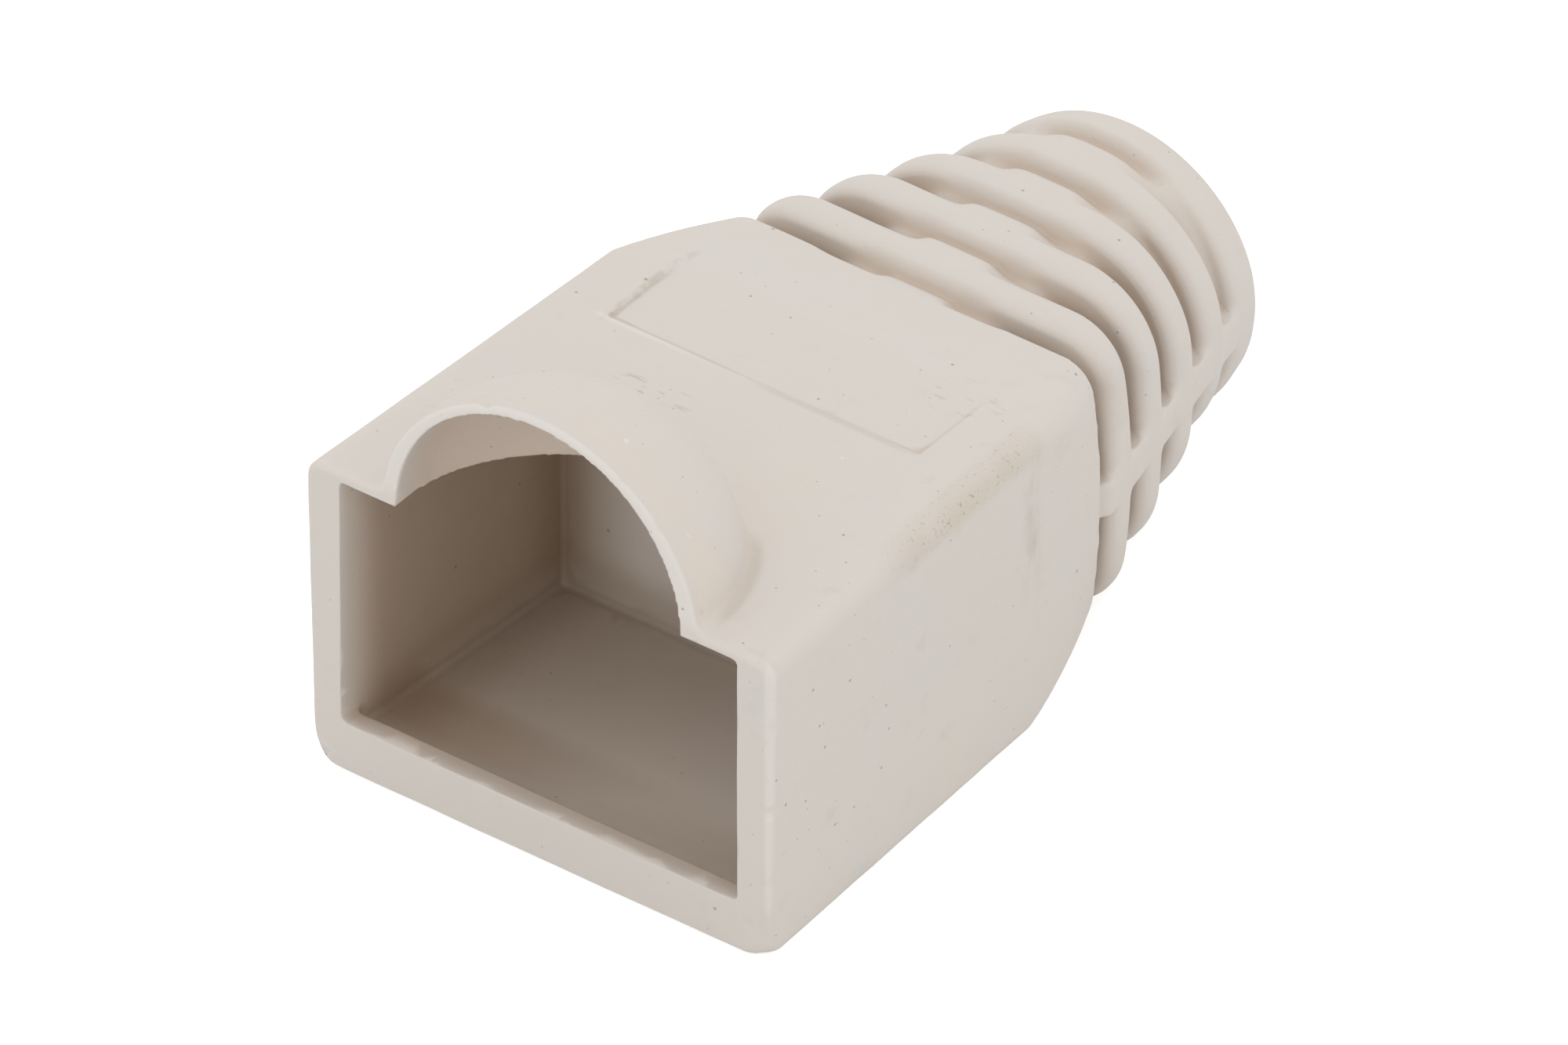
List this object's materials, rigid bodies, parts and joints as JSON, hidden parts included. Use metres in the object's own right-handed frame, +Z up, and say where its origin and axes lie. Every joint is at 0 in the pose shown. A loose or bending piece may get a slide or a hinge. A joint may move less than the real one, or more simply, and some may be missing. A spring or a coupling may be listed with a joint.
{
  "type": "rj45 strain relief boot",
  "caption": "Soft moulded strain relief boot for a modular cable plug: an open box socket with a rounded latch hood, drawing in to a ribbed flexible tail that the cable passes through.",
  "frame": {"origin": "middle of the footprint, on the surface that the flat underside rests on", "axes": "+X across the boot, +Y along it from the plug's mouth to the cable end, +Z up through the latch hood"},
  "size_m": [0.014, 0.024, 0.0132],
  "materials": {
    "soft_plastic": "satin matte soft plastic, pale warm grey"
  },
  "bodies": {
    "root": {"boot": "soft_plastic"}
  },
  "joints": []
}
